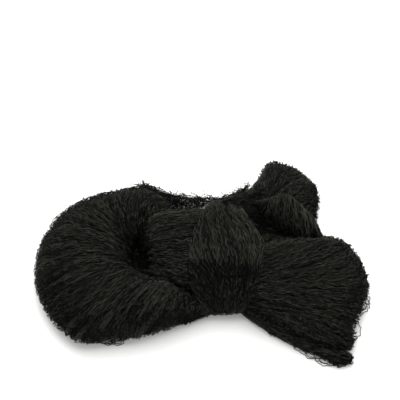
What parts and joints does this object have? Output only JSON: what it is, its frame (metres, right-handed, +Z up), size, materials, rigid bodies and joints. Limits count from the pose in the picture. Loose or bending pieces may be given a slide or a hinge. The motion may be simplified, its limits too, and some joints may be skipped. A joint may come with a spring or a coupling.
{
  "type": "bird netting hank",
  "caption": "Black knotted bird netting folded into a loop, lashed round the middle with its own tail, with a spread end.",
  "frame": {"origin": "middle of the hank's underside, on the surface that it lies on", "axes": "+X along the hank from the loop to the spread fan, +Y towards the side where the tail's end stands out, +Z up"},
  "size_m": [0.4486, 0.2893, 0.102],
  "materials": {
    "net_twine": "twisted black nylon twine, soft satin"
  },
  "bodies": {
    "root": {"net_hank": "net_twine"}
  },
  "joints": []
}
